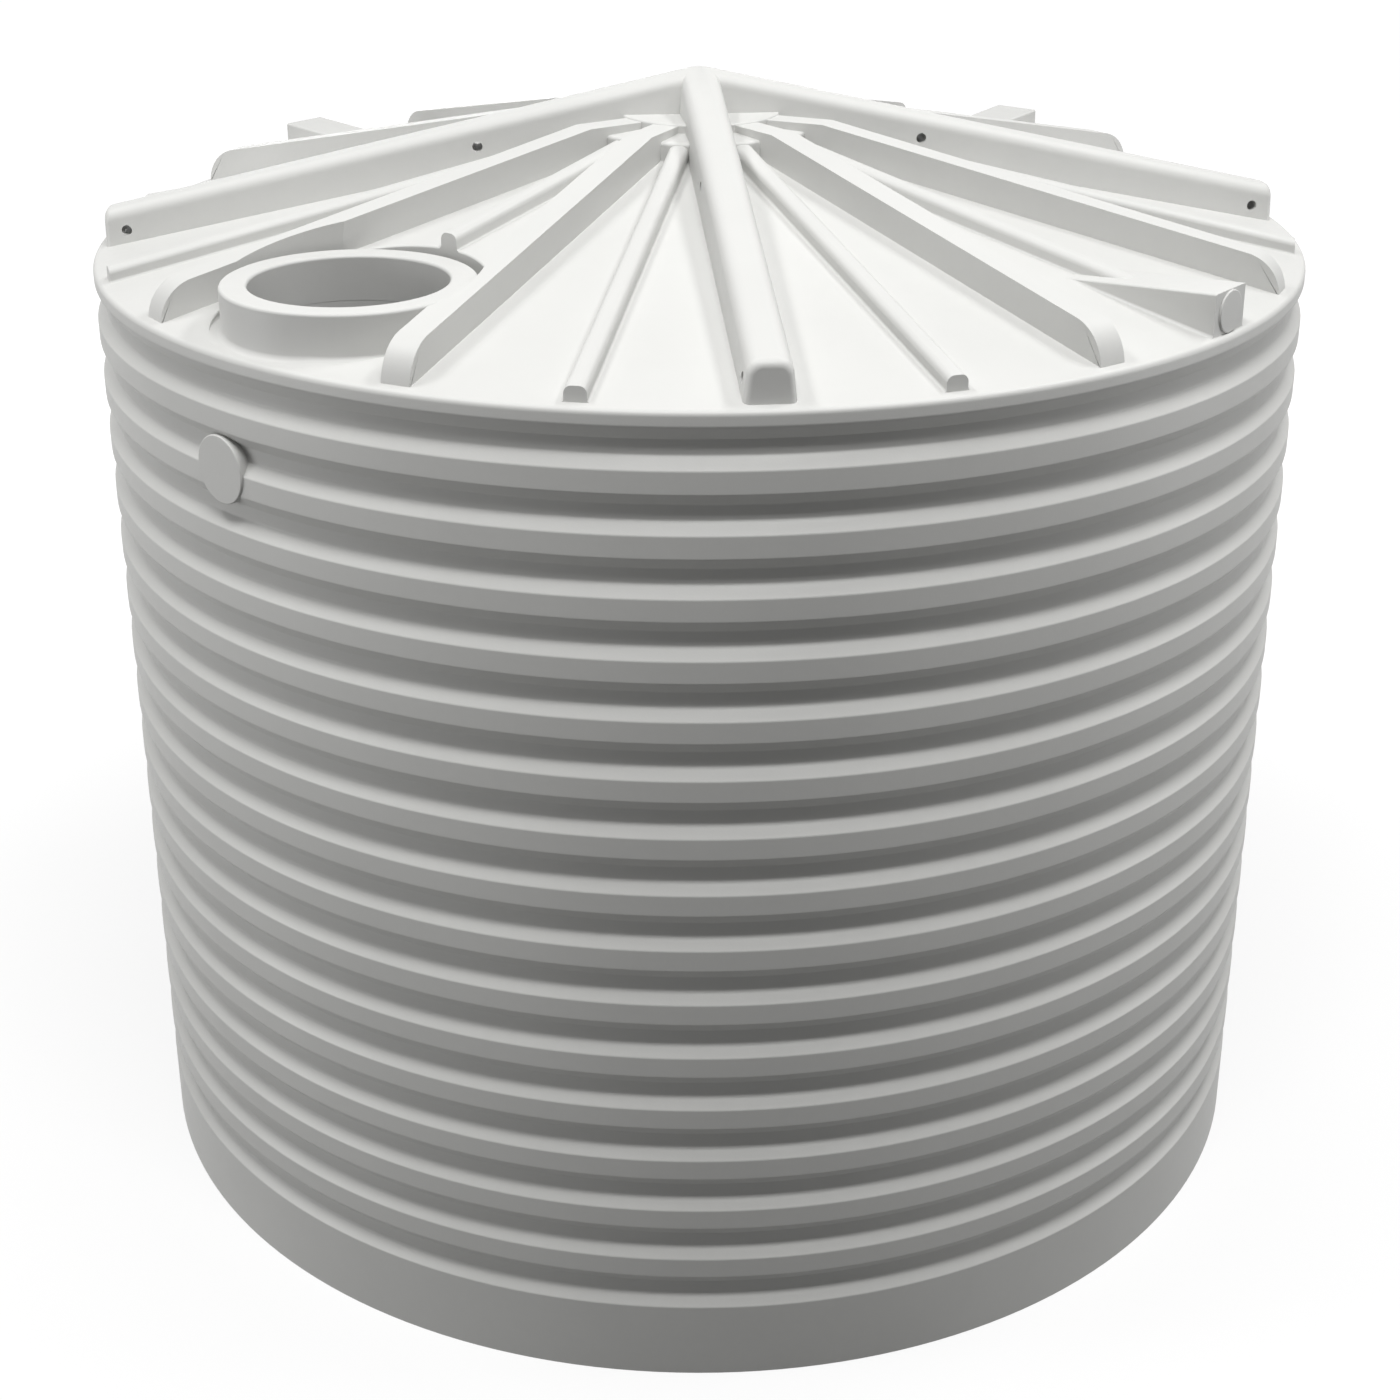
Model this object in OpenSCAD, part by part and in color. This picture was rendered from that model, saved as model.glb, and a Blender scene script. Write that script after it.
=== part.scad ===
// Round plastic tank for liquid feed. The wall has level ridges over a plain skirt, and the roof
// is a shallow cone stiffened by radial ribs, with an open manway, three outlet boxes and a boss.
// The origin is on the axis at the ground, +Z is up, and -Y is the front. One main rib points
// along each of +X, +Y, -X and -Y, and the manway lies between the front and the left one.

/* [Wall] */
// Radius of the tank over the ridges
tank_r = 1800; // [1600:10:2000]
// Thickness of the wall, the roof and the floor
skin_t = 9; // [6:0.5:14]
// Depth of the grooves between the ridges
groove_depth = 27; // [10:1:40]
// Height of one ridge with its groove
ridge_pitch = 164.5; // [140:0.5:190]
// Number of whole ridges over the skirt
ridge_count = 15; // [8:1:18]
// Upright length of the bottom of each groove
groove_flat = 39; // [20:1:50]
// Height of each slope between a groove and a ridge
slope_h = 33; // [20:1:40]
// Radius of the soft corners of the ridges
ridge_round = 9; // [4:0.5:12]
// Height of the plain skirt below the first groove
skirt_h = 230; // [100:1:400]
// Number of segments that the round wall is made in
wall_parts = 8; // [6:1:12]

/* [Roof] */
// Rise of the roof for each millimetre towards the centre
roof_slope = 0.197; // [0.1:0.001:0.3]
// Height of the roof edge over the last groove, at the ends of the ribs
eaves_h = 82; // [75:1:110]
// Distance of the ends of all ribs from the outside of the tank
rib_end_in = 32; // [10:1:60]
// Height of the slope from the last groove out to the roof edge
lip_slope_h = 37; // [30:1:45]
// Radius of the soft corners of the roof edge
lip_round = 16; // [8:1:18]
// Clearance under a part that is seated on the curved roof
seat_gap = 0.3; // [0.1:0.1:0.8]

/* [Hub] */
// Radius of the lower disc in the middle of the roof
disc_r = 360; // [300:1:450]
// Height of the wall of the lower disc
disc_h = 53; // [30:1:60]
// Rise of the top of the lower disc up to the plate
disc_rise = 5; // [1:1:20]
// Radius of the soft edge of the lower disc
disc_round = 10; // [4:1:14]
// Radius of the upper plate
plate_r = 240; // [180:1:280]
// Thickness of the upper plate
plate_t = 25; // [10:1:40]

/* [Main ribs] */
// Width of a main rib
main_w = 116; // [80:1:150]
// Height of a main rib over the roof at its outer end
main_h = 105; // [80:1:130]
// Rise of the top of a main rib for each millimetre towards the centre
main_slope = 0.217; // [0.2:0.001:0.24]
// Radius of the rounded shoulders of a main rib
main_round = 40; // [20:1:50]
// Diameter of a lifting hole through a main rib
lift_d = 30; // [15:1:40]
// Depth of the lifting holes below the top of the rib
lift_drop = 70; // [50:1:75]
// Distance of the outer lifting hole from the end of the rib
lift_outer_in = 64; // [40:1:200]
// Radius at which the inner lifting hole lies
lift_inner_r = 664; // [500:1:900]

/* [Medium ribs] */
// Width of a medium rib
medium_w = 82; // [50:1:100]
// Height of a medium rib over the roof
medium_h = 88; // [60:1:110]
// Radius at which the level inner end of a medium rib stops
knee_r = 411; // [380:1:500]
// Radius of the round outer end of a medium rib
medium_end_round = 118; // [80:1:150]

/* [Small ribs] */
// Width of a small rib
small_w = 58; // [30:1:70]
// Height of a small rib at its outer end
small_h = 41; // [25:1:60]
// Rise of the top of a small rib for each millimetre towards the centre
small_slope = 0.2; // [0.19:0.001:0.21]
// Radius of the rounded shoulders of a small rib
small_round = 20; // [8:1:24]

/* [Manway] */
// Distance of the middle of the manway from the outside of the tank
manway_in = 373; // [360:1:500]
// Radius of the bore of the manway
manway_bore_r = 262; // [200:1:280]
// Radius of the outside of the manway neck
manway_neck_r = 335; // [300:1:350]
// Height of the neck over its platform
manway_neck_h = 120; // [80:1:160]
// Radius of the soft edges of the neck
neck_round = 9; // [4:1:12]
// Radius of the fillet at the foot of the neck
neck_fillet = 14; // [6:1:18]
// Radius of the level platform that is sunk into the roof
platform_r = 366; // [355:1:368]
// Height of the platform over the roof edge
platform_h = 8; // [4:1:14]

/* [Outlets] */
// Width of an outlet box
box_w = 158; // [100:1:200]
// Height of the face of an outlet box over the roof edge
box_h = 114; // [80:1:140]
// Fall of the top of an outlet box for each millimetre towards the centre
box_fall = 0.065; // [0:0.005:0.1]
// Distance of the face of an outlet box from the outside of the tank
box_face_in = 18; // [10:1:60]
// Diameter of the round pad on the face of an outlet box
box_pad_d = 114; // [60:1:120]
// Height of the middle of the round pad over the roof edge
box_pad_h = 54; // [40:1:70]
// Thickness of the round pad on the face of an outlet box
box_pad_t = 6; // [2:1:12]
// Diameter of the overflow boss on the wall
boss_d = 186; // [100:1:220]
// Distance of the flat face of the overflow boss from the ridges
boss_reach = 4; // [3:0.5:60]
// Depth of the middle of the overflow boss below the roof edge
boss_drop = 320; // [200:1:400]
// Bearing of the overflow boss, from the front towards the right
boss_bearing = -49; // [-60:1:-40]

/* [Hidden] */
$fn = 96;
hidden_reach = 4000;
bar_depth = 400;
groove_r = tank_r - groove_depth;
rib_end_r = tank_r - rib_end_in;
box_face_r = tank_r - box_face_in;
manway_at_r = tank_r - manway_in;
lift_outer_r = rib_end_r - lift_outer_in;
ridge_top = skirt_h + slope_h + ridge_count * ridge_pitch;
joint_z = ridge_top + groove_flat;
eaves_z = joint_z + eaves_h;
platform_z = eaves_z + platform_h;
disc_z = roof_z(disc_r) + disc_h;
plate_foot_z = disc_z + disc_rise;
plate_z = plate_foot_z + plate_t;
hub_seat_w = 60;
hub_opening_r = disc_r - hub_seat_w;
roof_parts = 8;
roof_angle = 360 / roof_parts;
side_names = ["front", "right", "back", "left"];
part_angle = 360 / wall_parts;
medium_turns = [30, 60, 120, 150, 210, 240, 300, 330];

// Height of the outer face of the roof cone at a distance from the axis
function roof_z(r) = eaves_z + (rib_end_r - r) * roof_slope;

// Height of the top of a main rib at a distance from the axis
function main_top_z(r) = eaves_z + main_h + (rib_end_r - r) * main_slope;

// Points of an arc between two angles, for a profile
function arc(cx, cy, r, from, to, steps) =
    [for (i = [0:steps]) let (a = from + (to - from) * i / steps) [cx + r * cos(a), cy + r * sin(a)]];

function unit(v) = v / norm(v);

// A corner of an outline turned into a short arc of points
function soft_corner(p, before, after, r, steps) =
    let (
        u = unit(before - p),
        v = unit(after - p),
        half = acos(min(1, max(-1, u * v))) / 2,
        run = r / tan(half),
        middle = p + unit(u + v) * r / sin(half),
        a = p + u * run - middle,
        b = p + v * run - middle,
        turn = acos(min(1, max(-1, unit(a) * unit(b))))
    )
    [for (i = [0:steps]) let (t = i / steps)
        middle + (a * sin(turn * (1 - t)) + b * sin(turn * t)) / sin(turn)];

// An open outline with every inner corner softened
function soft_line(points, r, steps) = [
    points[0],
    for (i = [1:len(points) - 2])
        each soft_corner(points[i], points[i - 1], points[i + 1], r, steps),
    points[len(points) - 1]];

// The corners of the ridged wall at a distance from its outer face
function wall_corners(inset) = concat(
    [[tank_r - inset, 0], [tank_r - inset, skirt_h]],
    [for (i = [0:ridge_count - 1]) let (z = skirt_h + slope_h + i * ridge_pitch) each [
        [groove_r - inset, z],
        [groove_r - inset, z + groove_flat],
        [tank_r - inset, z + groove_flat + slope_h],
        [tank_r - inset, z + ridge_pitch - slope_h]]],
    [[groove_r - inset, ridge_top], [groove_r - inset, joint_z]]);

function reversed(list) = [for (i = [len(list) - 1:-1:0]) list[i]];

// The closed profile of the wall
function wall_profile() =
    concat(soft_line(wall_corners(0), ridge_round, 3), reversed(wall_corners(skin_t)));

// The closed profile of the roof panels, from the joint in the last groove to the hub
function roof_profile() = let (
    inner_r = tank_r - skin_t,
    outside = soft_line([
        [groove_r, joint_z],
        [tank_r, joint_z + lip_slope_h],
        [tank_r, roof_z(tank_r)],
        [hub_opening_r, roof_z(hub_opening_r)]], lip_round, 6),
    inside = [
        [hub_opening_r, roof_z(hub_opening_r) - skin_t],
        [inner_r, roof_z(inner_r) - skin_t],
        [inner_r, joint_z + lip_slope_h],
        [groove_r - skin_t, joint_z]])
    concat(outside, inside);

// Space below the top of the roof and its hub, which the ribs stand on
module below_crown(gap) {
    rotate_extrude($fn = 180)
        polygon([
            [0, 0],
            [hidden_reach, 0],
            [hidden_reach, roof_z(hidden_reach) + gap],
            [disc_r + gap, roof_z(disc_r) + gap],
            [disc_r + gap, disc_z],
            [plate_r + gap, plate_foot_z],
            [plate_r + gap, plate_z],
            [0, plate_z]]);
}

// Space below the outer face of the roof cone
module below_cone(gap) {
    rotate_extrude($fn = 180)
        polygon([[0, 0], [hidden_reach, 0], [hidden_reach, roof_z(hidden_reach) + gap], [0, roof_z(0) + gap]]);
}

// Places children at the manway, 45 degrees between the front and the left
module at_manway() {
    rotate([0, 0, -45]) translate([0, -manway_at_r, 0]) children();
}

// The upright round space that the manway stands in, from a height up
module manway_space(r, from_z) {
    at_manway() translate([0, 0, from_z]) cylinder(h = hidden_reach, r = r);
}

// Turns children so that the front faces a bearing, counted from the front to the right
module facing(bearing) {
    rotate([0, 0, bearing]) children();
}

// A flat section with two rounded shoulders, its top at zero
module shoulder_section(width, round_r, depth) {
    union() {
        translate([-width / 2, -depth]) square([width, depth - round_r]);
        translate([-width / 2 + round_r, -depth]) square([width - 2 * round_r, depth]);
        translate([-width / 2 + round_r, -round_r]) circle(r = round_r);
        translate([width / 2 - round_r, -round_r]) circle(r = round_r);
    }
}

// A bar with rounded shoulders that rises towards the axis, pointing to the front
module sloped_bar(width, round_r, slope, end_z, from_r, depth) {
    run = rib_end_r - from_r;
    intersection() {
        translate([0, -rib_end_r, end_z])
            rotate([90 - atan(slope), 0, 180])
                translate([0, 0, -depth])
                    linear_extrude(height = run / cos(atan(slope)) + 2 * depth)
                        shoulder_section(width, round_r, depth);
        translate([-width, -rib_end_r, 0]) cube([2 * width, run, 2 * hidden_reach]);
    }
}

module floor_plate() {
    color("gainsboro") cylinder(h = skin_t, r = tank_r - skin_t - seat_gap, $fn = 180);
}

module wall_segment(i) {
    color("gainsboro")
        rotate([0, 0, (i - 1.5) * part_angle - 90])
            rotate_extrude(angle = part_angle, $fn = 180) polygon(wall_profile());
}

module roof_panel(i) {
    color("whitesmoke")
        difference() {
            rotate([0, 0, (i - 1.5) * roof_angle - 90])
                rotate_extrude(angle = roof_angle, $fn = 180) polygon(roof_profile());
            if (i == roof_parts) manway_space(platform_r + skin_t + seat_gap, platform_z - skin_t);
        }
}

module hub_lower_disc() {
    color("whitesmoke")
        rotate_extrude($fn = 180)
            polygon(concat(
                soft_line([
                    [disc_r, roof_z(disc_r) + seat_gap],
                    [disc_r, disc_z],
                    [plate_r, plate_foot_z],
                    [0, plate_foot_z]], disc_round, 4),
                [[0, plate_foot_z - skin_t],
                [plate_r, plate_foot_z - skin_t],
                [hub_opening_r, roof_z(hub_opening_r) + seat_gap]]));
}

module hub_upper_plate() {
    color("whitesmoke") translate([0, 0, plate_foot_z]) cylinder(h = plate_t, r = plate_r, $fn = 180);
}

module lifting_hole(at_r) {
    translate([-main_w, -at_r, main_top_z(at_r) - lift_drop])
        rotate([0, 90, 0]) cylinder(h = 2 * main_w, d = lift_d);
}

module main_rib(bearing) {
    color("gainsboro")
        facing(bearing)
            difference() {
                intersection() {
                    sloped_bar(main_w, main_round, main_slope, main_top_z(rib_end_r), 0, bar_depth);
                    linear_extrude(height = 2 * hidden_reach)
                        polygon([[0, 0], [-rib_end_r, -rib_end_r], [rib_end_r, -rib_end_r]]);
                }
                below_crown(seat_gap);
                lifting_hole(lift_outer_r);
                lifting_hole(lift_inner_r);
            }
}

// Side outline of a medium rib: level at the hub, then down the roof to a round end
function medium_outline() = let (
    tilt = atan(roof_slope),
    corner = [rib_end_r, roof_z(rib_end_r) + medium_h],
    knee = [knee_r, roof_z(knee_r) + medium_h],
    run = medium_end_round * tan(45 - tilt / 2),
    centre = [rib_end_r - medium_end_round, corner[1] - run])
    concat(
        [[plate_r + seat_gap, 0], [plate_r + seat_gap, knee[1]], knee],
        arc(centre[0], centre[1], medium_end_round, 90 - tilt, 0, 14),
        [[rib_end_r, 0]]);

module medium_rib(bearing) {
    color("gainsboro")
        difference() {
            facing(bearing)
                translate([medium_w / 2, 0, 0]) rotate([90, 0, -90])
                    linear_extrude(height = medium_w) polygon(medium_outline());
            below_crown(seat_gap);
            manway_space(platform_r, joint_z);
        }
}

module small_rib(bearing) {
    color("gainsboro")
        difference() {
            facing(bearing)
                sloped_bar(small_w, small_round, small_slope, eaves_z + small_h, disc_r + seat_gap, bar_depth);
            below_cone(seat_gap);
            manway_space(platform_r, joint_z);
            if (bearing % 90 == 45 && bearing != 315) facing(bearing) outlet_wedge(seat_gap);
        }
}

module small_ribs(i) {
    for (turn = [15, 45, 75]) small_rib((i - 1) * 90 + turn);
}

module manway_well() {
    color("whitesmoke")
        difference() {
            intersection() {
                manway_space(platform_r + skin_t, platform_z - skin_t);
                below_cone(0);
            }
            manway_space(platform_r, platform_z);
            manway_space(manway_bore_r, 0);
        }
}

module manway_neck() {
    foot_r = manway_neck_r + neck_fillet;
    edge_z = manway_neck_h - neck_round;
    color("gainsboro")
        at_manway() translate([0, 0, platform_z])
            rotate_extrude($fn = 144)
                polygon(concat(
                    [[manway_bore_r, 0], [foot_r, 0]],
                    reversed(arc(foot_r, neck_fillet, neck_fillet, 180, 270, 5)),
                    arc(manway_neck_r - neck_round, edge_z, neck_round, 0, 90, 5),
                    arc(manway_bore_r + neck_round, edge_z, neck_round, 90, 180, 5)));
}

// The solid wedge of an outlet box, its top falling a little towards the centre
module outlet_wedge(gap) {
    face_z = eaves_z + box_h + gap;
    translate([box_w / 2 + gap, 0, 0])
        rotate([90, 0, -90])
            linear_extrude(height = box_w + 2 * gap)
                polygon([[0, 0], [box_face_r, 0], [box_face_r, face_z], [0, face_z - box_face_r * box_fall]]);
}

module outlet_box(bearing) {
    color("gainsboro")
        facing(bearing)
            difference() {
                union() {
                    outlet_wedge(0);
                    translate([0, -box_face_r, eaves_z + box_pad_h])
                        rotate([90, 0, 0]) cylinder(h = box_pad_t, d = box_pad_d);
                }
                below_cone(seat_gap);
            }
}

module overflow_boss() {
    color("gainsboro")
        difference() {
            facing(boss_bearing)
                translate([0, -tank_r - boss_reach, eaves_z - boss_drop])
                    rotate([-90, 0, 0]) cylinder(h = boss_reach + 2 * groove_depth, d = boss_d, $fn = 180);
            rotate_extrude($fn = 1080)
                polygon(concat(soft_line([for (p = wall_corners(0)) p + [seat_gap, 0]], ridge_round, 3),
                    [[0, joint_z], [0, 0]]));
        }
}

floor_plate();  // floor
for (i = [1:wall_parts]) wall_segment(i);
for (i = [1:roof_parts]) roof_panel(i);
hub_lower_disc();
hub_upper_plate();
for (i = [0:3]) main_rib(i * 90);
for (i = [1:8]) medium_rib(medium_turns[i - 1]);
for (i = [1:4]) small_ribs(i);
manway_well();
manway_neck();
outlet_box(45);  // outlet_box_front_right
outlet_box(135);  // outlet_box_back_right
outlet_box(225);  // outlet_box_back_left
overflow_boss();
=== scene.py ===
# %% [markdown]
# # A moulded plastic tank for liquid feed
#
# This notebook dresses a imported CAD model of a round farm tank: a ridged wall over a plain skirt,
# a shallow cone roof with radial ribs, an open manway, three outlet boxes and an overflow boss.
# The CAD model is the fixed frame. Every piece made here is built around the same axis, in metres,
# with the origin on the ground, +Z up and -Y to the front, so it lands where the CAD says.

# %% Load the frame
import math

import bmesh
import bpy
from mathutils import Matrix, Vector


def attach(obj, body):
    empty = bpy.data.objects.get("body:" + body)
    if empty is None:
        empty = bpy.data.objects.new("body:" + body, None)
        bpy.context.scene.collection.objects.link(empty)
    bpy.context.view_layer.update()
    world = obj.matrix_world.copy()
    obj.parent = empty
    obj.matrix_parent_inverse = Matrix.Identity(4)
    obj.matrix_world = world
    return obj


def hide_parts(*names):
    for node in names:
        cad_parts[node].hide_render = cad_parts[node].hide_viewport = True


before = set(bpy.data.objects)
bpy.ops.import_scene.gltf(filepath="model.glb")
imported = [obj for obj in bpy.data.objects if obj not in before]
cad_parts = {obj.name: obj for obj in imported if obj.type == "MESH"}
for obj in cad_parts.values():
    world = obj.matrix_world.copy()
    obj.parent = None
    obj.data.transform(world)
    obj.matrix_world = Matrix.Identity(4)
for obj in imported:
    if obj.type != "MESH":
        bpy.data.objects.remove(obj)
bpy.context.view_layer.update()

# %% [markdown]
# ## Sizes
#
# The maker of such a tank thinks in a few sizes: the radius, the pitch of the ridges, the slope of
# the roof, and the width and height of each kind of rib. Bearings are counted in degrees from the
# front towards the right. All other numbers follow from these, as they do in the CAD source.

# %% Sizes of the wall and the roof
TANK_R = 1.8
SKIN = 0.009
GROOVE_DEPTH = 0.027
RIDGE_PITCH = 0.1645
RIDGE_COUNT = 15
GROOVE_FLAT = 0.039
SLOPE_H = 0.033
RIDGE_ROUND = 0.009
SKIRT_H = 0.230
ROOF_SLOPE = 0.197
EAVES_H = 0.082
RIB_END_R = TANK_R - 0.032
LIP_SLOPE_H = 0.037
LIP_ROUND = 0.016

GROOVE_R = TANK_R - GROOVE_DEPTH
JOINT_Z = SKIRT_H + SLOPE_H + RIDGE_COUNT * RIDGE_PITCH + GROOVE_FLAT
EAVES_Z = JOINT_Z + EAVES_H


def roof_z(r):
    """Height of the outer face of the roof cone at a distance from the axis."""
    return EAVES_Z + (RIB_END_R - r) * ROOF_SLOPE


print("joint", round(JOINT_Z, 4), "eaves", round(EAVES_Z, 4))

# %% Sizes of the hub and the ribs
DISC_R = 0.360
DISC_ROUND = 0.010
DISC_EDGE_R = DISC_R - 0.012  # where the ribs step from the cone onto the disc
DISC_Z = roof_z(DISC_R) + 0.053
HUB_OPENING_R = DISC_R - 0.060
PLATE_R = 0.240
PLATE_FOOT_Z = DISC_Z + 0.005
PLATE_Z = PLATE_FOOT_Z + 0.025
PLATE_ROUND = 0.006
MAIN_W = 0.116
MAIN_H = 0.105
MAIN_SLOPE = 0.217
MAIN_ROUND = 0.040
MAIN_DRAFT = 0.008
MAIN_END_ROUND = 0.018
HOLE_R = 0.015
HOLE_DROP = 0.070
HOLE_AT = (RIB_END_R - 0.064, 0.664)
MEDIUM_W = 0.082
MEDIUM_H = 0.088
KNEE_R = 0.411
MEDIUM_END_ROUND = 0.118
MEDIUM_ROUND = 0.008
SMALL_W = 0.058
SMALL_H = 0.041
SMALL_SLOPE = 0.200
SMALL_ROUND = 0.020
SMALL_FILLET = 0.006
SMALL_END_ROUND = 0.005
SINK = 0.004  # how deep a piece's foot stands in what carries it

print("hub plate top", round(PLATE_Z, 4))

# %% Sizes of the manway, the outlet boxes and the boss
MANWAY_R = TANK_R - 0.373
MANWAY_BEARING = -45
BORE_R = 0.262
NECK_R = 0.335
NECK_H = 0.120
NECK_ROUND = 0.009
NECK_FILLET = 0.014
BORE_LEDGE = 0.0005  # the neck's bore is this much tighter than the platform's
PLATFORM_R = 0.366
PLATFORM_Z = EAVES_Z + 0.008
STEP_FOOT = 0.016
STEP_CREST = 0.005
THROAT = 0.032  # the lip of the bore under the platform
SEAM_R = PLATFORM_R + 0.006  # where the platform's piece meets the roof
CUT_Z = EAVES_Z + 0.0005  # the roof is cut from here up
SCOOP_Z = PLATFORM_Z - 0.1
OVERHEAD_Z = 4.0
MANWAY_STEPS = 160
BOX_W = 0.158
BOX_ROUND = 0.006
BOX_FILLET = 0.008
BOX_H = 0.114
BOX_FALL = 0.065
BOX_FACE_R = TANK_R - 0.018
PAD_R = 0.057
PAD_T = 0.006
PAD_DEPTH = 0.010
PAD_ROUND = 0.003
PAD_Z = EAVES_Z + 0.054
BOSS_R = 0.093
BOSS_REACH = 0.004
BOSS_DEPTH = 0.040
BOSS_ROUND = 0.0035
BOSS_Z = EAVES_Z - 0.320
BOSS_BEARING = -49


def at_bearing(bearing, r, z, side=0.0):
    """A point in the frame from its bearing, its distance from the axis and its height."""
    a = math.radians(bearing)
    return Vector((r * math.sin(a) + side * math.cos(a), -r * math.cos(a) + side * math.sin(a), z))


MANWAY_AT = at_bearing(MANWAY_BEARING, MANWAY_R, 0)
print("manway at", tuple(round(c, 4) for c in MANWAY_AT))

# %% [markdown]
# ## The plastic
#
# Such tanks are rotationally moulded from polyethylene. The skin has an even colour all the way
# through, a soft sheen, a fine orange peel from the mould, and slow drifts of tone where the powder
# melted a little thicker. A noise texture at three scales gives these: one for the tone, one for
# the gloss and one for the bump. All of them read Object coordinates, so nothing needs unwrapping.


# %% Node helpers
def add_node(tree, kind, inputs=None, **settings):
    """Adds a node, sets its properties and fills or links its inputs."""
    made = tree.nodes.new(kind)
    for name, value in settings.items():
        setattr(made, name, value)
    for key, value in (inputs or {}).items():
        if isinstance(value, bpy.types.NodeSocket):
            tree.links.new(value, made.inputs[key])
        else:
            made.inputs[key].default_value = value
    return made


def calc(tree, operation, a, b=0.0):
    """A Math node, given back as its output socket."""
    return add_node(tree, "ShaderNodeMath", {0: a, 1: b}, operation=operation).outputs[0]


def map_range(tree, value, low, high, to_low, to_high):
    """A Map Range node, given back as its output socket."""
    made = add_node(
        tree, "ShaderNodeMapRange", {"Value": value, 1: low, 2: high, 3: to_low, 4: to_high}
    )
    return made.outputs[0]


def noise(tree, place, scale, detail, roughness):
    """A Noise Texture node, given back as its output socket."""
    inputs = {"Vector": place, "Scale": scale, "Detail": detail, "Roughness": roughness}
    return add_node(tree, "ShaderNodeTexNoise", inputs).outputs[0]


# %% Moulded polyethylene
def moulded_plastic(name, colour, drift):
    """Light grey polyethylene with a drift of tone, an uneven sheen and a fine orange peel."""
    material = bpy.data.materials.new(name)
    material.use_nodes = True
    tree = material.node_tree
    shader = tree.nodes["Principled BSDF"]
    shader.inputs["IOR"].default_value = 1.5
    shader.inputs["Specular IOR Level"].default_value = 0.35
    place = add_node(tree, "ShaderNodeTexCoord").outputs["Object"]
    clouds = noise(tree, place, 1.7, 4.0, 0.55)
    streaks = noise(tree, place, 38.0, 3.0, 0.6)
    peel = noise(tree, place, 210.0, 2.0, 0.5)
    tone = calc(
        tree,
        "ADD",
        map_range(tree, clouds, 0.3, 0.7, 1 - drift, 1 + drift),
        map_range(tree, streaks, 0.3, 0.7, -drift / 3, drift / 3),
    )
    grey = add_node(tree, "ShaderNodeCombineColor", {0: tone, 1: tone, 2: tone})
    paint = add_node(
        tree,
        "ShaderNodeMix",
        {"Factor": 1.0, 6: (*colour, 1), 7: grey.outputs[0]},
        data_type="RGBA",
        blend_type="MULTIPLY",
    )
    sheen = map_range(tree, streaks, 0.3, 0.7, 0.44, 0.56)
    bump = add_node(
        tree, "ShaderNodeBump", {"Strength": 0.12, "Distance": 0.0012, "Height": peel}
    )
    tree.links.new(paint.outputs[2], shader.inputs["Base Color"])
    tree.links.new(sheen, shader.inputs["Roughness"])
    tree.links.new(bump.outputs[0], shader.inputs["Normal"])
    return material


wall_plastic = moulded_plastic("wall_polyethylene", (0.53, 0.53, 0.515), 0.03)
roof_plastic = moulded_plastic("roof_polyethylene", (0.55, 0.55, 0.535), 0.02)
print("materials:", wall_plastic.name, roof_plastic.name)

# %% [markdown]
# ## From outline to finished piece
#
# Most pieces start as an outline with sharp corners. `soften` turns each corner into a short arc,
# because nothing moulded is truly sharp. `finish_mesh` then bakes the modifiers into a plain mesh,
# keeps edges over 35 degrees crisp, and weights the normals by face area, so that flat faces stay
# flat right up to their rounded edges.


# %% Outline helpers
def soften(corners, steps):
    """Corners (x, y, radius) of a closed outline, each turned into an arc of that radius."""
    line = []
    count = len(corners)
    for i, (x, y, radius) in enumerate(corners):
        if radius == 0:
            line.append((x, y))
            continue
        here = Vector((x, y))
        to_last = (Vector(corners[i - 1][:2]) - here).normalized()
        to_next = (Vector(corners[(i + 1) % count][:2]) - here).normalized()
        half = to_last.angle(to_next) / 2
        middle = here + (to_last + to_next).normalized() * radius / math.sin(half)
        first = here + to_last * radius / math.tan(half) - middle
        last = here + to_next * radius / math.tan(half) - middle
        for step in range(steps + 1):
            spoke = first.slerp(last, step / steps) * radius
            line.append(tuple(middle + spoke))
    return line


# %% Mesh helpers
MERGE_M = 0.00005
CRISP_DEG = 35


def new_piece(name, points, faces, material):
    """A mesh object at the origin from its points and faces."""
    mesh = bpy.data.meshes.new(name)
    mesh.from_pydata([tuple(p) for p in points], [], faces)
    mesh.materials.append(material)
    piece = bpy.data.objects.new(name, mesh)
    bpy.context.scene.collection.objects.link(piece)
    return piece


def bake_modifiers(piece):
    """Turns the piece and its modifiers into a plain mesh."""
    bpy.context.view_layer.update()
    graph = bpy.context.evaluated_depsgraph_get()
    plain = bpy.data.meshes.new_from_object(
        piece.evaluated_get(graph), preserve_all_data_layers=True, depsgraph=graph
    )
    piece.modifiers.clear()
    piece.data = plain
    return piece


def add_modifier(piece, kind, **settings):
    """Adds a modifier with its settings."""
    made = piece.modifiers.new(kind.lower(), kind)
    for name, value in settings.items():
        setattr(made, name, value)
    return made


def merge_doubles(piece):
    """Closes seams and poles, and turns all faces outwards."""
    shape = bmesh.new()
    shape.from_mesh(piece.data)
    bmesh.ops.remove_doubles(shape, verts=shape.verts, dist=MERGE_M)
    bmesh.ops.dissolve_degenerate(shape, edges=shape.edges, dist=MERGE_M)
    bmesh.ops.recalc_face_normals(shape, faces=shape.faces)
    shape.to_mesh(piece.data)
    shape.free()
    return piece


def finish_mesh(piece):
    """Bakes what is live, then sets smooth shading with crisp edges and area-weighted normals."""
    bake_modifiers(piece)
    piece.data.shade_smooth()
    piece.data.set_sharp_from_angle(angle=math.radians(CRISP_DEG))
    add_modifier(piece, "WEIGHTED_NORMAL", keep_sharp=True, weight=50)
    bake_modifiers(piece)
    triangles = sum(len(p.vertices) - 2 for p in piece.data.polygons)
    print(piece.name, triangles, "triangles")
    return piece


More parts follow.
